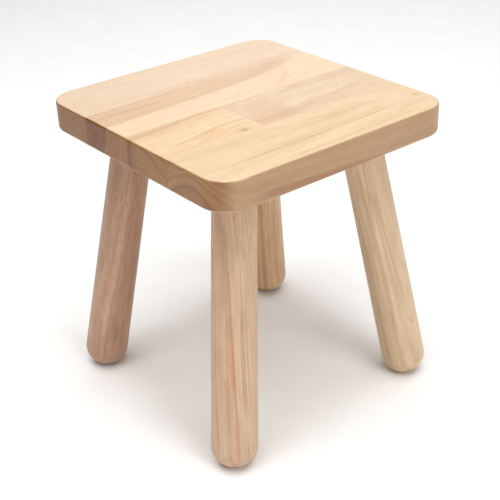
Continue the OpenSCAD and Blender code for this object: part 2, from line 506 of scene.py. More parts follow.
    def _stains(
        self, tree: Tree, grain: Node, colour: Node, end: Node
    ) -> Node:
        """Lay the heart and the streaks over the wood's colour.

        Args:
            tree: The material's tree.
            grain: The grain coordinates.
            colour: The wood's own colour.
            end: The share of end grain.

        Returns:
            The stained colour.
        """
        layers = []
        if self.heart:
            heart, radius = self.heart, self._radius(tree, grain)
            layers.append((heart.colour, add(
                tree, "ShaderNodeMapRange",
                [radius, heart.radius - heart.rim_width, heart.radius + heart.rim_width, heart.strength, 0.0],
                interpolation_type="SMOOTHSTEP",
            )))
            layers.append((heart.rim_colour, self._band(
                tree, radius, heart.radius, 0.0, heart.rim_width, heart.rim_strength
            )))
        parts = add(tree, "ShaderNodeSeparateXYZ", [grain]).outputs
        for streak in self.streaks:
            (x0, z0), (x1, z1) = streak.start, streak.end
            slope = (x1 - x0) / (z1 - z0)
            across = add(
                tree, "ShaderNodeMath", [parts["Z"], -slope, parts["X"]], operation="MULTIPLY_ADD"
            )
            across = add(tree, "ShaderNodeMath", [parts["Y"], -streak.lean, across], operation="MULTIPLY_ADD")
            share = self._band(tree, across, x0 - slope * z0, 0.0, streak.half_width, streak.strength)
            half = abs(z1 - z0) / 2
            bounds = [self._band(tree, parts["Z"], (z0 + z1) / 2, self.STREAK_CORE * half, half, 1.0)]
            if streak.half_level:
                height = streak.half_level
                bounds.append(
                    self._band(tree, parts["Y"], streak.level, self.LEVEL_CORE * height, height, 1.0)
                )
            for bound in bounds:
                share = add(tree, "ShaderNodeMath", [share, bound], operation="MULTIPLY")
            layers.append((streak.colour, share))
        boost = add(tree, "ShaderNodeMath", [end, self.END_STAIN_BOOST, 1.0], operation="MULTIPLY_ADD")
        for tint, share in layers:
            share = add(tree, "ShaderNodeMath", [share, boost], operation="MULTIPLY")
            colour = add(tree, "ShaderNodeMix", {0: share, 6: colour, 7: linear(tint)}, data_type="RGBA")
        return colour

    def _knots(
        self, tree: Tree, straight: Node, colour: Node
    ) -> Node:
        """Lay the knots over the wood's colour.

        Args:
            tree: The material's tree.
            straight: The grain coordinates, before the knots bend them.
            colour: The colour so far.

        Returns:
            The colour with its knots.
        """
        for knot in self.knots:
            offset = add(
                tree, "ShaderNodeVectorMath", [straight, (knot.across, 0.0, knot.along)], operation="SUBTRACT"
            )
            squash = (1.0, 0.0, self.KNOT_SQUASH)
            flat = add(tree, "ShaderNodeVectorMath", [offset, squash], operation="MULTIPLY")
            distance = add(tree, "ShaderNodeVectorMath", [flat], operation="LENGTH").outputs["Value"]
            for spread, strength in self.KNOT_LAYERS:
                share = self._band(
                    tree, distance, 0.0, self.KNOT_CORE * knot.radius, spread * knot.radius,
                    strength * knot.strength,
                )
                colour = add(
                    tree, "ShaderNodeMix", {0: share, 6: colour, 7: linear(knot.colour)}, data_type="RGBA"
                )
        return colour

    def _band(
        self, tree: Tree, value: NodeSocket, middle: float, near: float, far: float,
        strength: float,
    ) -> Node:
        """Add a strength that fades with the distance between a value and a middle.

        Args:
            tree: The material's tree.
            value: The value.
            middle: Where the strength is full.
            near: Distance at which it begins to fade.
            far: Distance at which it has faded out.
            strength: The full strength.

        Returns:
            The node whose output is the strength.
        """
        off = add(tree, "ShaderNodeMath", [value, middle], operation="SUBTRACT")
        off = add(tree, "ShaderNodeMath", [off], operation="ABSOLUTE")
        return add(
            tree, "ShaderNodeMapRange", [off, near, far, strength, 0.0], interpolation_type="SMOOTHSTEP"
        )

    def _pores(self, tree: Tree, grain: Node) -> Node:
        """Add the open pores, as dashes along the grain.

        Args:
            tree: The material's tree.
            grain: The grain coordinates.

        Returns:
            1 in a pore and 0 between them.
        """
        noise = self._stretched(tree, grain, self.PORE_WIDTH, self.PORE_LENGTH, 4, detail=1.0)
        return add(
            tree, "ShaderNodeMapRange", [noise, *self.PORE_EDGES, 0.0, 1.0], interpolation_type="SMOOTHSTEP"
        )

    def _facing(self, tree: Tree, axis: Point3) -> Node:
        """Add how far the surface faces along one of the grain's axes.

        Args:
            tree: The material's tree.
            axis: The axis, in grain coordinates.

        Returns:
            A share from 0 to 1.
        """
        turned = Euler([math.radians(angle) for angle in self.turn]).to_matrix() @ Vector(axis)
        place = add(tree, "ShaderNodeTexCoord")
        facing = add(
            tree, "ShaderNodeVectorMath", [place.outputs["Normal"], tuple(turned)], operation="DOT_PRODUCT"
        )
        facing = add(tree, "ShaderNodeMath", [facing.outputs["Value"]], operation="ABSOLUTE")
        return add(
            tree, "ShaderNodeMapRange", [facing, *self.FACING_EDGES, 0.0, 1.0],
            interpolation_type="SMOOTHSTEP",
        )


@dataclass(frozen=True)
class ZincPlate(Finish):
    """Steel hardware with bright zinc plating.

    Zinc plate is a cool grey metal with a soft shine. Its crystals give it a faint, fine clouding.
    """

    name: str = "bright_zinc_plate"
    bright: str = "#cfd1d2"
    dull: str = "#a9adaf"
    # Clouds of the plating
    CLOUD_SIZE = 1.6
    # Roughness of the bright and of the dull clouds
    ROUGHNESS = (0.24, 0.38)

    def shader(self, tree: Tree) -> Node:
        """Add the nodes.

        Args:
            tree: The material's tree.

        Returns:
            The shader.
        """
        clouds, colour = clouded(tree, self.CLOUD_SIZE, 3.0, self.bright, self.dull)
        roughness = add(tree, "ShaderNodeMapRange", [clouds, *NOISE_SPAN, *self.ROUGHNESS])
        return add(
            tree, "ShaderNodeBsdfPrincipled", {"Base Color": colour, "Roughness": roughness, "Metallic": 1.0}
        )


@dataclass(frozen=True)
class MattPaper(Finish):
    """White matt studio paper, with the faint unevenness of rolled stock."""

    name: str = "white_studio_paper"
    white: str = "#fbfbfa"
    shade: str = "#f4f4f3"
    # Unevenness of the roll
    CLOUD_SIZE = 60.0
    ROUGHNESS = 0.9

    def shader(self, tree: Tree) -> Node:
        """Add the nodes.

        Args:
            tree: The material's tree.

        Returns:
            The shader.
        """
        colour = clouded(tree, self.CLOUD_SIZE, 2.0, self.white, self.shade)[1]
        return add(tree, "ShaderNodeBsdfPrincipled", {"Base Color": colour, "Roughness": self.ROUGHNESS})


# ---------------------------------------------------------------- Making pieces


def lathe(profile: list[Point2], sides: int) -> Mesh:
    """Turn a profile round the Z axis into a closed mesh.

    Args:
        profile: Points (radius, z). The first and the last are on the axis.
        sides: How many steps go round.

    Returns:
        The turned mesh, in the profile's own unit.
    """
    mesh = bmesh.new()
    turns = [2 * math.pi * i / sides for i in range(sides)]
    rings = [[mesh.verts.new((r * math.cos(a), r * math.sin(a), z)) for a in turns] for r, z in profile[1:-1]]
    tips = [mesh.verts.new((0.0, 0.0, profile[i][1])) for i in (0, -1)]
    for i in range(sides):
        j = (i + 1) % sides
        mesh.faces.new((tips[0], rings[0][i], rings[0][j]))
        mesh.faces.new((tips[1], rings[-1][j], rings[-1][i]))
        for low, high in zip(rings, rings[1:]):
            mesh.faces.new((low[j], low[i], high[i], high[j]))
    bmesh.ops.recalc_face_normals(mesh, faces=mesh.faces)
    return mesh


def prism(section: list[Point2], x0: float, x1: float) -> Mesh:
    """Extrude a section of points (y, z) from one X to another.

    Args:
        section: The outline.
        x0: Where the prism begins.
        x1: Where the prism ends.

    Returns:
        The closed prism.
    """
    mesh = bmesh.new()
    near = [mesh.verts.new((x0, y, z)) for y, z in section]
    far = [mesh.verts.new((x1, y, z)) for y, z in section]
    mesh.faces.new(near)
    mesh.faces.new(far[::-1])
    for i in range(len(section)):
        mesh.faces.new((near[i - 1], near[i], far[i], far[i - 1]))
    bmesh.ops.recalc_face_normals(mesh, faces=mesh.faces)
    return mesh


def to_object(name: str, mesh: Mesh, place: Matrix = Matrix.Identity(4)) -> bpy.types.Object:
    """Make an object from a mesh in millimetres, and link it to the scene.

    Args:
        name: The object's name.
        mesh: The mesh, which is freed.
        place: A placement in millimetres.

    Returns:
        The object, at the origin, with its place in its mesh.
    """
    mesh.transform(Matrix.Scale(MM, 4) @ place)
    data = bpy.data.meshes.new(name)
    mesh.to_mesh(data)
    mesh.free()
    made = bpy.data.objects.new(name, data)
    bpy.context.scene.collection.objects.link(made)
    return made


def settle(piece: bpy.types.Object) -> None:
    """Turn a piece's modifiers into plain mesh, and remove them.

    Args:
        piece: The piece.
    """
    evaluated = piece.evaluated_get(bpy.context.evaluated_depsgraph_get())
    settled = bpy.data.meshes.new_from_object(evaluated)
    old = piece.data
    piece.modifiers.clear()
    piece.data = settled
    settled.name = piece.name
    bpy.data.meshes.remove(old)


def stand_for(piece: bpy.types.Object, node: str) -> None:
    """Let a piece stand for its CAD node.

    Args:
        piece: The finished piece.
        node: The CAD node.
    """
    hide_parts(node)
    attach(piece, BODY)
    low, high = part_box(node)
    corners = [Vector(corner) for corner in piece.bound_box]
    off = max(
        max(abs(min(c[i] for c in corners) - low[i]), abs(max(c[i] for c in corners) - high[i]))
        for i in range(3)
    )
    faces = len(piece.data.polygons)
    log.info("%s: %d faces, stands for %s, box off by %.3f mm", piece.name, faces, node, off / MM)


# ---------------------------------------------------------------- Legs and their joints


class Corner(Enum):
    """The stool's four corners: the side in X, and the side in Y."""

    FRONT_LEFT = (-1, -1)
    FRONT_RIGHT = (1, -1)
    REAR_LEFT = (-1, 1)
    REAR_RIGHT = (1, 1)

    @property
    def label(self) -> str:
        """Return the corner's name in the CAD nodes."""
        return self.name.lower()


@dataclass(frozen=True)
class LegStance:
    """How a leg's axis stands. Millimetres.

    Attributes:
        top: The axis at the seat's underside, from the middle in X and in Y.
        foot: The axis at the floor, from the middle in X and in Y.
        underside: Height of the seat's underside.
        recess: How deep the leg's top face sits in the seat, on the axis.
    """

    top: Point2 = (70.0, 68.0)
    foot: Point2 = (104.0, 106.5)
    underside: float = 249.5
    recess: float = 5.5

    @property
    def splay(self) -> float:
        """Return the angle between the leg and a plumb line."""
        out = math.hypot(self.foot[0] - self.top[0], self.foot[1] - self.top[1])
        return math.atan(out / self.underside)

    def euler(self, corner: Corner) -> Euler:
        """Return the turn that takes +Z down a leg's axis.

        Args:
            corner: The leg's corner.

        Returns:
            The turn.
        """
        x, y = corner.value
        heading = math.atan2(y * (self.foot[1] - self.top[1]), x * (self.foot[0] - self.top[0]))
        return Euler((0.0, math.pi - self.splay, heading))

    def matrix(self, corner: Corner) -> Matrix:
        """Return the placement of a piece whose origin is the leg's top face and whose +Z is down the leg.

        Args:
            corner: The leg's corner.

        Returns:
            The placement, in millimetres.
        """
        x, y = corner.value
        at = Matrix.Translation((x * self.top[0], y * self.top[1], self.underside))
        return at @ self.euler(corner).to_matrix().to_4x4() @ Matrix.Translation((0.0, 0.0, -self.recess))

    def log(self, corner: Corner, spin: float, lean: float, pith: Point2) -> Matrix:
        """Return the placement of the log that a leg is turned from.

        Args:
            corner: The leg's corner.
            spin: How far the log is turned about the leg's axis, in degrees.
            lean: How far the log leans to its own X, in degrees.
            pith: Where the pith is at the leg's top face, in the spun log's X and Y.

        Returns:
            The placement, in millimetres.
        """
        turned = Matrix.Rotation(math.radians(spin), 4, "Z") @ Matrix.Translation((*pith, 0.0))
        return self.matrix(corner) @ turned @ Matrix.Rotation(math.radians(lean), 4, "Y")


@dataclass(frozen=True)
class Socket:
    """The cuts that take one leg: a flat-bottomed recess, the insert's pocket and the bolt's clearance.

    Millimetres, from the leg's top face; minus is up into the seat.
    """

    recess_radius: float = 18.0
    recess_reach: float = 29.0
    flange_radius: float = 7.5
    flange_thickness: float = 1.5
    insert_radius: float = 6.5
    insert_length: float = 12.0
    clearance_radius: float = 4.5
    clearance_depth: float = 15.0
    sides: int = 128

    def cutter(self, corner: Corner, stance: LegStance) -> bpy.types.Object:
        """Make the solid that is cut away.

        Args:
            corner: The leg's corner.
            stance: How the leg stands.

        Returns:
            The cutter.
        """
        profile = [
            (0.0, -self.clearance_depth),
            (self.clearance_radius, -self.clearance_depth),
            (self.clearance_radius, -self.insert_length),
            (self.insert_radius, -self.insert_length),
            (self.insert_radius, -self.flange_thickness),
            (self.flange_radius, -self.flange_thickness),
            (self.flange_radius, 0.0),
            (self.recess_radius, 0.0),
            (self.recess_radius, self.recess_reach),
            (0.0, self.recess_reach),
        ]
        return to_object(f"socket_cutter_{corner.label}", lathe(profile, self.sides), stance.matrix(corner))


@dataclass(frozen=True)
class TurnedLeg:
    """A leg, turned on a lathe: a land at the top, a long taper that grows, and a round foot. Millimetres.

    The profile is swept round the leg's axis by a Geometry Nodes tree, which takes these sizes as its inputs.
    """

    top_radius: float = 18.0
    foot_radius: float = 20.25
    land: float = 12.0
    shoulder_radius: float = 18.5
    crown_radius: float = 36.0
    bore_radius: float = 4.0
    bore_depth: float = 30.0
    sides: int = 144
    taper_points: int = 40
    shoulder_points: int = 28
    crown_points: int = 8
    weld: float = 0.01

    def sizes(self, stance: LegStance) -> dict[str, float]:
        """Work out the inputs of the tree.

        Args:
            stance: How the leg stands, which sets its length.

        Returns:
            Each input's value, in metres or radians.
        """
        ring = self.foot_radius - self.shoulder_radius
        crown_drop = math.sqrt((self.crown_radius - self.shoulder_radius) ** 2 - ring**2)
        drop = stance.underside - self.shoulder_radius - ring * math.sin(stance.splay)
        return {
            "Top Radius": self.top_radius * MM,
            "Foot Radius": self.foot_radius * MM,
            "Land": self.land * MM,
            "Shoulder Radius": self.shoulder_radius * MM,
            "Shoulder Depth": (stance.recess + drop / math.cos(stance.splay)) * MM,
            "Crown Radius": self.crown_radius * MM,
            "Crown Drop": crown_drop * MM,
            "Crown Angle": math.atan2(crown_drop, ring),
            "Bore Radius": self.bore_radius * MM,
            "Bore Depth": self.bore_depth * MM,
            "Recess": stance.recess * MM,
        }

    def tree(self, sizes: dict[str, float]) -> Tree:
        """Build the Geometry Nodes tree that turns a leg and stands it in its place.

        Args:
            sizes: The inputs' names and values.

        Returns:
            The tree.
        """
        tree = bpy.data.node_groups.new("turned_leg", "GeometryNodeTree")
        tree.is_modifier = True
        tree.interface.new_socket("Geometry", in_out="OUTPUT", socket_type="NodeSocketGeometry")
        inputs = {name: ("NodeSocketFloat", value) for name, value in sizes.items()}
        inputs["Stand At"] = ("NodeSocketVector", None)
        inputs["Turn"] = ("NodeSocketRotation", None)
        inputs["Sides"] = ("NodeSocketInt", self.sides)
        inputs["Wood"] = ("NodeSocketMaterial", None)
        for name, (kind, value) in inputs.items():
            socket = tree.interface.new_socket(name, in_out="INPUT", socket_type=kind)
            if value is not None:
                socket.default_value = value
        given = add(tree, "NodeGroupInput").outputs

        points = [
            (None, given["Bore Depth"]),
            (given["Bore Radius"], given["Bore Depth"]),
            (given["Bore Radius"], None),
            (given["Top Radius"], None),
            (given["Top Radius"], given["Land"]),
            (given["Foot Radius"], given["Shoulder Depth"]),
        ]
        corners = [add(tree, "ShaderNodeCombineXYZ", {0: radius, 1: depth}) for radius, depth in points]
        sections = [add(tree, "GeometryNodeCurvePrimitiveLine", [a, b]) for a, b in zip(corners, corners[1:])]
        # The taper gets a row of points, so that its faces are not long slivers
        sections[-1] = add(
            tree, "GeometryNodeResampleCurve", {"Curve": sections[-1], "Count": self.taper_points}
        )
        sections += self._foot(tree, given)
        profile = add(tree, "GeometryNodeJoinGeometry")
        for section in reversed(sections):
            tree.links.new(section.outputs[0], profile.inputs[0])
        swept = self._sweep(tree, profile, given["Sides"])

        down = add(tree, "ShaderNodeCombineXYZ", {2: add(
            tree, "ShaderNodeMath", [given["Recess"], -1.0], operation="MULTIPLY"
        )})
        sunk = add(tree, "GeometryNodeTransform", {"Geometry": swept, "Translation": down})
        stood = add(
            tree, "GeometryNodeTransform",
            {"Geometry": sunk, "Translation": given["Stand At"], "Rotation": given["Turn"]},
        )
        real = add(tree, "GeometryNodeRealizeInstances", [stood])
        dressed = add(tree, "GeometryNodeSetMaterial", {"Geometry": real, "Material": given["Wood"]})
        add(tree, "NodeGroupOutput", [dressed])
        return tree

    def _foot(
        self, tree: Tree, given: bpy.types.NodeOutputs
    ) -> list[Node]:
        """Add the arcs of the foot: the round shoulder, and the flatter crown that meets the axis.

        Args:
            tree: The leg's tree.
            given: The tree's inputs.

        Returns:
            The two arcs, as radius in X and depth in Y.
        """
        shoulder = add(
            tree, "GeometryNodeCurveArc",
            {"Resolution": self.shoulder_points, "Radius": given["Shoulder Radius"],
             "Start Angle": 0.0, "Sweep Angle": given["Crown Angle"]},
        )
        ring = add(
            tree, "ShaderNodeMath", [given["Foot Radius"], given["Shoulder Radius"]], operation="SUBTRACT"
        )
        shoulder_centre = add(tree, "ShaderNodeCombineXYZ", {0: ring, 1: given["Shoulder Depth"]})
        left = add(tree, "ShaderNodeMath", [math.pi / 2, given["Crown Angle"]], operation="SUBTRACT")
        crown = add(
            tree, "GeometryNodeCurveArc",
            {"Resolution": self.crown_points, "Radius": given["Crown Radius"],
             "Start Angle": given["Crown Angle"], "Sweep Angle": left},
        )
        height = add(
            tree, "ShaderNodeMath", [given["Shoulder Depth"], given["Crown Drop"]], operation="SUBTRACT"
        )
        crown_centre = add(tree, "ShaderNodeCombineXYZ", {1: height})
        return [
            add(tree, "GeometryNodeTransform", {"Geometry": arc, "Translation": centre})
            for arc, centre in ((shoulder, shoulder_centre), (crown, crown_centre))
        ]

    def _sweep(
        self, tree: Tree, profile: Node, sides: NodeSocket
    ) -> Node:
        """Sweep the profile round the axis, close its poles and set which edges are crisp.

        Args:
            tree: The leg's tree.
            profile: The profile's curves, as radius in X and depth in Y.
            sides: How many steps go round.

        Returns:
            The turned solid, with +Z down the leg.
        """
        rail_radius = 1.0
        inward = add(
            tree, "GeometryNodeTransform", {"Geometry": profile, "Translation": (-rail_radius, 0.0, 0.0)}
        )
        rail = add(tree, "GeometryNodeCurvePrimitiveCircle", {"Resolution": sides, "Radius": rail_radius})
        rail = add(tree, "GeometryNodeSetCurveNormal", {"Curve": rail.outputs["Curve"]}, mode="Z_UP")
        skin = add(tree, "GeometryNodeCurveToMesh", {"Curve": rail, "Profile Curve": inward})
        closed = add(tree, "GeometryNodeMergeByDistance", {"Geometry": skin, "Distance": self.weld * MM})
        # The rail's Z_UP normals send the profile's Y to -Z, so half a turn points it down the leg
        over = Euler((math.pi, 0.0, 0.0))
        turned = add(tree, "GeometryNodeTransform", {"Geometry": closed, "Rotation": over})
        smooth = add(tree, "GeometryNodeSetShadeSmooth", {"Geometry": turned, "Shade Smooth": True})
        angle = add(tree, "GeometryNodeInputMeshEdgeAngle")
        crisp = add(
            tree, "FunctionNodeCompare", {0: angle.outputs["Unsigned Angle"], 1: CRISP_ANGLE},
            operation="GREATER_THAN",
        )
        return add(
            tree, "GeometryNodeSetShadeSmooth",
            {"Geometry": smooth, "Selection": crisp, "Shade Smooth": False}, domain="EDGE",
        )

    def build(
        self, corner: Corner, stance: LegStance, tree: Tree, wood: bpy.types.Material
    ) -> bpy.types.Object:
        """Turn one leg and stand it in its corner.

        Args:
            corner: The leg's corner.
            stance: How the leg stands.
            tree: The tree that turns it.
            wood: Its finish.

        Returns:
            The finished leg.
        """
        leg = to_object(f"{corner.label}_leg", bmesh.new())
        turning = leg.modifiers.new("turning", "NODES")
        turning.node_group = tree
        sockets = {item.name: item.identifier for item in tree.interface.items_tree if item.in_out == "INPUT"}
        x, y = corner.value
        turning[sockets["Stand At"]] = [x * stance.top[0] * MM, y * stance.top[1] * MM, stance.underside * MM]
        turning[sockets["Turn"]] = stance.euler(corner)
        turning[sockets["Wood"]] = wood
        settle(leg)
        return leg


# ---------------------------------------------------------------- Seat


@dataclass(frozen=True)
class FingerJoint:
    """The joint of the centre-right stave's two lengths: pointed fingers, stacked through the thickness.

    Millimetres.
    """

    from_front: float = 96.5
    count: int = 5
    length: float = 10.0
    flat: float = 0.8

    def line(self, front: float, bottom: float, thickness: float) -> list[Point2]:
        """Return the joint's line in Y and Z, from the underside up.

        Args:
            front: The seat's front edge.
            bottom: The seat's underside.
            thickness: The seat's thickness.

        Returns:
            Points (y, z).
        """
        root, pitch, half = front + self.from_front, thickness / self.count, self.flat / 2
        points = [(root, bottom)]
        for i in range(self.count):
            z = bottom + i * pitch
            points += [
                (root, z + half),
                (root + self.length, z + pitch / 2 - half),
                (root + self.length, z + pitch / 2 + half),
                (root, z + pitch - half),
            ]
        return [*points, (root, bottom + thickness)]


@dataclass(frozen=True)
class SeatPanel:
    """The seat: a panel of staves with rounded corners and rounded-over edges. Millimetres."""

    corner_radius: float = 25.0
    top_round: float = 2.0
    bottom_round: float = 3.5
    corner_steps: int = 24
    round_steps: int = 8
    # A stave's side this close to the panel's own is not sawn
    touching: float = 1e-3
    joint: FingerJoint = FingerJoint()

    def outline(self, half_x: float, half_y: float, inset: float) -> list[Point2]:
        """Return the panel's outline in plan, moved in by an inset.

        Args:
            half_x: Half the panel's width.
            half_y: Half the panel's depth.
            inset: How far the outline is moved in.

        Returns:
            Points (x, y), counter-clockwise.
        """
        points = []
        for quarter, (x, y) in enumerate(((1, 1), (-1, 1), (-1, -1), (1, -1))):
            for i in range(self.corner_steps + 1):
                angle = (quarter + i / self.corner_steps) * math.pi / 2
                radius = self.corner_radius - inset
                points.append((
                    x * (half_x - self.corner_radius) + radius * math.cos(angle),
                    y * (half_y - self.corner_radius) + radius * math.sin(angle),
                ))
        return points

    def levels(self, bottom: float, top: float) -> list[Point2]:
        """Return the edge's profile from the bottom up, as (inset, z).

        Args:
            bottom: Height of the underside.
            top: Height of the top face.

        Returns:
            The profile's points.
        """
        quarter = [math.pi / 2 * i / self.round_steps for i in range(self.round_steps + 1)]
        below, above = self.bottom_round, self.top_round
        low = [(below * (1 - math.sin(a)), bottom + below * (1 - math.cos(a))) for a in quarter]
        high = [(above * (1 - math.cos(a)), top - above * (1 - math.sin(a))) for a in quarter]
        return low + high

    def blank(self, low: Vector, high: Vector) -> Mesh:
        """Make the whole panel as one solid.

        Args:
            low: The panel's lowest corner.
            high: The panel's highest corner.

        Returns:
            The solid.
        """
        mesh = bmesh.new()
        half_x, half_y = (high.x - low.x) / 2, (high.y - low.y) / 2
        rings = [
            [mesh.verts.new((x, y, z)) for x, y in self.outline(half_x, half_y, inset)]
            for inset, z in self.levels(low.z, high.z)
        ]
        for lower, upper in zip(rings, rings[1:]):
            for i in range(len(lower)):
                mesh.faces.new((lower[i - 1], lower[i], upper[i], upper[i - 1]))
        mesh.faces.new(rings[0][::-1])
        mesh.faces.new(rings[-1])
        middle = (low + high) / 2
        mesh.transform(Matrix.Translation((middle.x, middle.y, 0.0)))
        return mesh

    def stave(self, name: str, low: Vector, high: Vector, x0: float, x1: float) -> bpy.types.Object:
        """Saw the panel down to one stave.

        Args:
            name: The stave's name.
            low: The panel's lowest corner.
            high: The panel's highest corner.
            x0: The stave's left side.
            x1: The stave's right side.

        Returns:
            The stave.
        """
        mesh = self.blank(low, high)
        for x, out in ((x0, -1.0), (x1, 1.0)):
            if low.x + self.touching < x < high.x - self.touching:
                bmesh.ops.bisect_plane(
                    mesh, geom=mesh.verts[:] + mesh.edges[:] + mesh.faces[:], plane_co=(x, 0.0, 0.0),
                    plane_no=(out, 0.0, 0.0), clear_outer=True,
                )
                open_edges = [edge for edge in mesh.edges if edge.is_boundary]
                bmesh.ops.edgeloop_fill(mesh, edges=open_edges)
        bmesh.ops.recalc_face_normals(mesh, faces=mesh.faces)
        return to_object(name, mesh)

    def finish(self, stave: bpy.types.Object, cuts: list[tuple[bpy.types.Object, str]]) -> None:
        """Make a stave's cuts, and shade its round edges smooth and its flat faces flat.

        Args:
            stave: The stave.
            cuts: Each cutter, with DIFFERENCE or INTERSECT.
        """
        for cutter, operation in cuts:
            cut = stave.modifiers.new(cutter.name, "BOOLEAN")
            cut.object, cut.operation, cut.solver = cutter, operation, "EXACT"
        settle(stave)
        stave.data.polygons.foreach_set("use_smooth", [True] * len(stave.data.polygons))
        stave.data.set_sharp_from_angle(angle=CRISP_ANGLE)
        even = stave.modifiers.new("even_shading", "WEIGHTED_NORMAL")
        even.keep_sharp = True
        settle(stave)


# ---------------------------------------------------------------- Stool


# The seat's grain runs along +Y, and a board's depth is measured down
ALONG_SEAT = (-90.0, 0.0, 0.0)


class StaveWood(Enum):
    """The boards that the seat is glued up from."""

    # Each board's end tint is partly the end grain's own browner colour and partly painted shade on the shaded
    # ends
    LEFT = Rubberwood(
        name="rubberwood_left_stave", pith=(-92.0, 0.0, 190.0), turn=ALONG_SEAT, seed=3.0,
        pale="#dfc8b0", deep="#d4b99c", end_tint="#a48055", ring_contrast=0.7,
        streaks=(
            Streak((22.0, -130.0), (23.0, 130.0), 5.0, "#c9b392", 0.3),
            Streak((29.0, -60.0), (29.0, 120.0), 8.0, "#cf9c7c", 0.3),
            Streak((-14.0, -40.0), (-12.0, 130.0), 6.0, "#d9ae8c", 0.25),
        ),
    )
    CENTRE_LEFT = Rubberwood(
        name="rubberwood_heart_stave", pith=(-62.0, -122.5, 277.0), turn=(-99.5, 0.0, 0.0), seed=11.0,
        pale="#e3cbad", deep="#dabd9b", end_tint="#a77f4c", ring_contrast=0.6, wander=1.2,
        heart=Heart(34.0, "#a87046", 0.29, "#8a5f38", 4.0, 0.16),
        streaks=(
            Streak((5.0, -20.0), (4.5, 110.0), 2.4, "#b98e6c", 0.3),
            Streak((16.0, -20.0), (16.0, 75.0), 2.6, "#a5744e", 0.28, lean=-0.1),
            Streak((30.0, 195.0), (60.0, 160.0), 7.0, "#c99868", 0.2),
        ),
    )
    CENTRE_RIGHT_FRONT = Rubberwood(
        name="rubberwood_knotty_stave", pith=(0.0, 0.0, 180.0), turn=ALONG_SEAT, seed=23.0,
        pale="#e1c7a5", deep="#d5b68f", end_tint="#ae8b5b", ring_contrast=0.8, wander=1.5,
        streaks=(
            Streak((6.5, -150.0), (6.0, -10.0), 6.5, "#a2744a", 0.32),
            Streak((13.0, -170.0), (13.5, -18.0), 4.0, "#d09a6c", 0.3),
            Streak((43.0, -116.0), (43.0, -10.0), 3.6, "#ad9262", 0.35),
            Streak((49.0, -85.0), (47.0, -50.0), 9.0, "#d39d5c", 0.35),
        ),
        knots=(Knot(53.6, -42.5, 3.0, bend=18.0, strength=0.5),),
    )
    CENTRE_RIGHT_REAR = Rubberwood(
        name="rubberwood_rear_stave", pith=(20.0, 0.0, 150.0), turn=ALONG_SEAT, seed=31.0,
        pale="#dec6ab", deep="#ccaf8f", mottle_contrast=1.2,
        streaks=(
            Streak((29.0, -50.0), (29.0, 25.0), 60.0, "#c79c7a", 0.35),
            Streak((21.0, -10.0), (22.0, 60.0), 1.8, "#b6946c", 0.35),
            Streak((29.0, -10.0), (29.0, 50.0), 1.8, "#b6946c", 0.3),
        ),
    )
    # The right board's edge tint is painted shade on its right side
    RIGHT = Rubberwood(
        name="rubberwood_right_stave", pith=(87.0, -122.5, 230.0), turn=(-93.0, 0.0, 0.0), seed=41.0,
        pale="#ddc4a2", deep="#d0b38e", end_tint="#b9946a", wander=1.5, painted_side_shade_tint="#cebeae",
        heart=Heart(32.5, "#b98a62", 0.08, "#6f4f35", 2.0, 0.15),
        streaks=(
            Streak((13.5, 0.0), (13.0, 225.0), 3.0, "#a07d48", 0.32),
            Streak((8.5, 42.0), (8.0, 212.0), 2.8, "#b8995f", 0.3),
            Streak((-7.0, 42.0), (-7.0, 200.0), 2.8, "#b8995f", 0.26),
            Streak((31.0, 52.0), (32.0, 212.0), 2.8, "#b8995f", 0.26),
            Streak((38.0, 20.0), (38.0, 190.0), 12.0, "#b5754a", 0.55, level=-27.5, half_level=5.5),
        ),
        knots=(Knot(7.0, 232.5, 2.4, colour="#b3752c", strength=0.6),),
    )


class Seat:
    """The seat panel: five staves, glued side by side, with the legs' sockets cut in the underside."""

    panel = SeatPanel()
    # How far a cutter reaches past the panel, in millimetres
    cut_margin = 5.0
    staves = {
        "left_stave": ("seat_stave_left", StaveWood.LEFT),
        "centre_left_stave": ("seat_stave_centre_left", StaveWood.CENTRE_LEFT),
        "centre_right_stave_front": ("seat_stave_centre_right_front", StaveWood.CENTRE_RIGHT_FRONT),
        "centre_right_stave_rear": ("seat_stave_centre_right_rear", StaveWood.CENTRE_RIGHT_REAR),
        "right_stave": ("seat_stave_right", StaveWood.RIGHT),
    }

    def build(self, stance: LegStance, socket: Socket) -> None:
        """Build the staves, cut them and dress them.

        Args:
            stance: How the legs stand.
            socket: The cuts that take a leg.
        """
        boxes = {
            name: [Vector(corner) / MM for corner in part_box(node)] for name, (node, _) in self.staves.items()
        }
        low = Vector(min(box[0][i] for box in boxes.values()) for i in range(3))
        high = Vector(max(box[1][i] for box in boxes.values()) for i in range(3))
        line = self.panel.joint.line(low.y, low.z, high.z - low.z)
        section = [
            (low.y - self.cut_margin, low.z - self.cut_margin), (line[0][0], low.z - self.cut_margin), *line,
            (line[-1][0], high.z + self.cut_margin), (low.y - self.cut_margin, high.z + self.cut_margin),
        ]
        fingers = to_object(
            "finger_cutter", prism(section, low.x - self.cut_margin, high.x + self.cut_margin)
        )
        sockets = {corner: socket.cutter(corner, stance) for corner in Corner}
        finger_cut = {"centre_right_stave_front": "INTERSECT", "centre_right_stave_rear": "DIFFERENCE"}
        for name, (node, wood) in self.staves.items():
            x0, x1 = boxes[name][0].x, boxes[name][1].x
            stave = self.panel.stave(name, low, high, x0, x1)
            cuts = [(fingers, finger_cut[name])] if name in finger_cut else []
            for corner, cutter in sockets.items():
                reach = [(Vector(c) / MM).x for c in cutter.bound_box]
                if min(reach) < x1 and max(reach) > x0:
                    cuts.append((cutter, "DIFFERENCE"))
            self.panel.finish(stave, cuts)
            stave.data.materials.clear()
            stave.data.materials.append(wood.value.material())
            stand_for(stave, node)
        for cutter in (fingers, *sockets.values()):
            bpy.data.objects.remove(cutter)


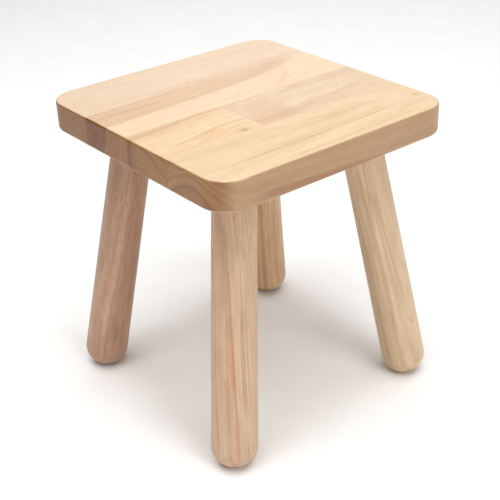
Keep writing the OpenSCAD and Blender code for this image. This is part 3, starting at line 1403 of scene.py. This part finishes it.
@dataclass(frozen=True)
class LegWood:
    """The wood of one leg, and how the log lay in it. Millimetres and degrees.

    Attributes:
        pale: Colour of the early wood.
        deep: Colour of the late wood.
        spin: How far the log is turned about the leg's axis.
        pith: Where the log's pith is at the leg's top face.
        lean: How far the log leans to its own X.
        seed: Picks this leg's own pattern.
        rings: How much the rings vary the tone.
        fibres: How much single fibres vary the tone.
        pores: How dark the pores are.
        streaks: Darker lines along the grain, from the pith at the leg's top face.
    """

    pale: str
    deep: str
    spin: float
    pith: Point2
    lean: float
    seed: float
    rings: float = 1.2
    fibres: float = 1.1
    pores: float = 0.15
    streaks: tuple[Streak, ...] = ()

    # A leg's log is finer and more lined than the boards, and a turned end darkens less than a sawn one
    RING_SPACING = 4.0
    LINE_STRENGTH = 0.4
    END_TINT = "#f4e9dc"

    def finish(self, corner: Corner, stance: LegStance) -> Rubberwood:
        """Make the finish, with the grain along the log.

        Args:
            corner: The leg's corner.
            stance: How the leg stands.

        Returns:
            The finish.
        """
        log_place = stance.log(corner, self.spin, self.lean, self.pith)
        return Rubberwood(
            name=f"rubberwood_{corner.label}_leg", pith=tuple(log_place.translation),
            turn=tuple(math.degrees(angle) for angle in log_place.to_euler()), pale=self.pale, deep=self.deep,
            seed=self.seed, ring_spacing=self.RING_SPACING, ring_contrast=self.rings,
            fibre_contrast=self.fibres, pore_strength=self.pores, line_strength=self.LINE_STRENGTH,
            end_tint=self.END_TINT, streaks=self.streaks,
        )


class Base:
    """The four legs and the hardware that holds them in the seat."""

    leg = TurnedLeg()
    woods = {
        Corner.FRONT_LEFT: LegWood(
            "#c1997d", "#a0785d", spin=-5.0, pith=(55.0, -20.0), lean=-1.5, seed=50.0,
            rings=1.0, fibres=1.6, pores=0.4,
            streaks=(
                Streak((-46.0, 60.0), (-44.0, 190.0), 5.0, "#a5715a", 0.25),
                Streak((-53.0, 40.0), (-52.0, 230.0), 6.0, "#d8b79f", 0.3),
            ),
        ),
        Corner.FRONT_RIGHT: LegWood(
            "#d9bb9e", "#b39070", spin=79.6, pith=(-60.0, -10.0), lean=3.5, seed=59.0,
            streaks=(
                Streak((47.8, 20.0), (35.0, 230.0), 8.0, "#c99878", 0.4),
                Streak((48.5, 112.0), (48.8, 195.0), 4.0, "#c9845f", 0.4),
                Streak((49.2, 208.0), (49.6, 262.0), 3.5, "#c9845f", 0.35),
                Streak((49.0, 60.0), (51.2, 270.0), 1.8, "#a8714c", 0.5),
            ),
        ),
        Corner.REAR_LEFT: LegWood(
            "#e9c298", "#c49b72", spin=-100.7, pith=(-50.0, -10.0), lean=0.0, seed=68.0, pores=0.2,
            streaks=(Streak((47.0, 90.0), (46.5, 280.0), 3.0, "#9c6a3f", 0.4),),
        ),
        Corner.REAR_RIGHT: LegWood(
            "#e0c5a3", "#ba9b79", spin=178.7, pith=(-42.0, -22.0), lean=4.0, seed=77.0, rings=1.0, fibres=0.9,
            streaks=(
                Streak((40.0, 60.0), (44.0, 190.0), 2.0, "#b58f6a", 0.4),
                Streak((38.0, 15.0), (33.0, 100.0), 1.8, "#b58f6a", 0.4),
            ),
        ),
    }

    def build(self, stance: LegStance) -> None:
        """Turn the legs and dress the hardware.

        Args:
            stance: How the legs stand.
        """
        tree = self.leg.tree(self.leg.sizes(stance))
        zinc = ZincPlate().material()
        for corner in Corner:
            leg = self.leg.build(corner, stance, tree, self.woods[corner].finish(corner, stance).material())
            stand_for(leg, f"leg_{corner.label}")
            for kind in ("hanger_bolt", "threaded_insert"):
                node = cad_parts[f"{kind}_{corner.label}"]
                node.data.materials.clear()
                node.data.materials.append(zinc)
                log.info("%s: CAD node kept, with zinc plate", node.name)


# ---------------------------------------------------------------- Studio


@dataclass(frozen=True)
class Camera:
    """The camera: where it looks, and from how far, round and above."""

    target: Point3 = (-0.0424, 0.03413, 0.09775)
    azimuth: float = 51.755
    elevation: float = 29.11
    roll: float = -2.06
    distance: float = 1.00685
    focal_length: float = 73.51
    sensor: float = 36.0
    nearest: float = 0.05
    farthest: float = 30.0

    def build(self) -> None:
        """Add the camera and make it the scene's own."""
        around, above, roll = (math.radians(angle) for angle in (self.azimuth, self.elevation, self.roll))
        level = math.cos(above)
        back = Vector((math.sin(around) * level, -math.cos(around) * level, math.sin(above)))
        turn = Matrix.Rotation(around, 4, "Z") @ Matrix.Rotation(math.pi / 2 - above, 4, "X")
        data = bpy.data.cameras.new("camera")
        data.lens, data.sensor_width = self.focal_length, self.sensor
        data.clip_start, data.clip_end = self.nearest, self.farthest
        camera = bpy.data.objects.new("camera", data)
        stand = Matrix.Translation(Vector(self.target) + self.distance * back)
        camera.matrix_world = stand @ turn @ Matrix.Rotation(roll, 4, "Z")
        bpy.context.scene.collection.objects.link(camera)
        bpy.context.scene.camera = camera


@dataclass(frozen=True)
class Softbox:
    """A square area light that faces a point above the floor. Metres and watts."""

    name: str
    place: Point3
    size: float
    power: float
    aim: Point3 = (0.0, 0.0, 0.15)

    def build(self) -> None:
        """Add the light."""
        data = bpy.data.lights.new(self.name, "AREA")
        data.shape, data.size, data.energy = "SQUARE", self.size, self.power
        light = bpy.data.objects.new(self.name, data)
        light.location = self.place
        light.rotation_euler = (Vector(self.aim) - Vector(self.place)).to_track_quat("-Z", "Y").to_euler()
        bpy.context.scene.collection.objects.link(light)


class Studio:
    """A white paper floor under soft light."""

    softboxes = (
        Softbox("overhead_softbox", (0.2, -0.2, 2.6), 3.0, 104.0),
        Softbox("right_softbox", (2.1, 0.1, 1.2), 1.2, 20.0),
        Softbox("front_softbox", (-0.3, -2.3, 0.9), 1.2, 8.0),
        Softbox("rim_softbox", (-1.7, 1.6, 0.8), 1.2, 4.0),
    )
    ambient = 0.05
    floor_size = 12.0

    def build(self) -> None:
        """Add the floor, the lights and the surrounding light."""
        mesh = bmesh.new()
        bmesh.ops.create_grid(mesh, x_segments=1, y_segments=1, size=self.floor_size / 2 / MM)
        floor = to_object("floor", mesh)
        floor.data.materials.append(MattPaper().material())
        for softbox in self.softboxes:
            softbox.build()
        world = bpy.data.worlds.new("studio")
        world.use_nodes = True
        background = world.node_tree.nodes["Background"]
        background.inputs["Color"].default_value = (1.0, 1.0, 1.0, 1.0)
        background.inputs["Strength"].default_value = self.ambient
        scene = bpy.context.scene
        scene.world = world
        scene.view_settings.view_transform = "Standard"


def main() -> None:
    """Build the stool and its studio."""
    logging.basicConfig(level=logging.INFO, format="%(name)s: %(message)s")
    Camera().build()
    Studio().build()
    stance = LegStance()
    Seat().build(stance, Socket())
    Base().build(stance)


if __name__ == "__main__":
    main()
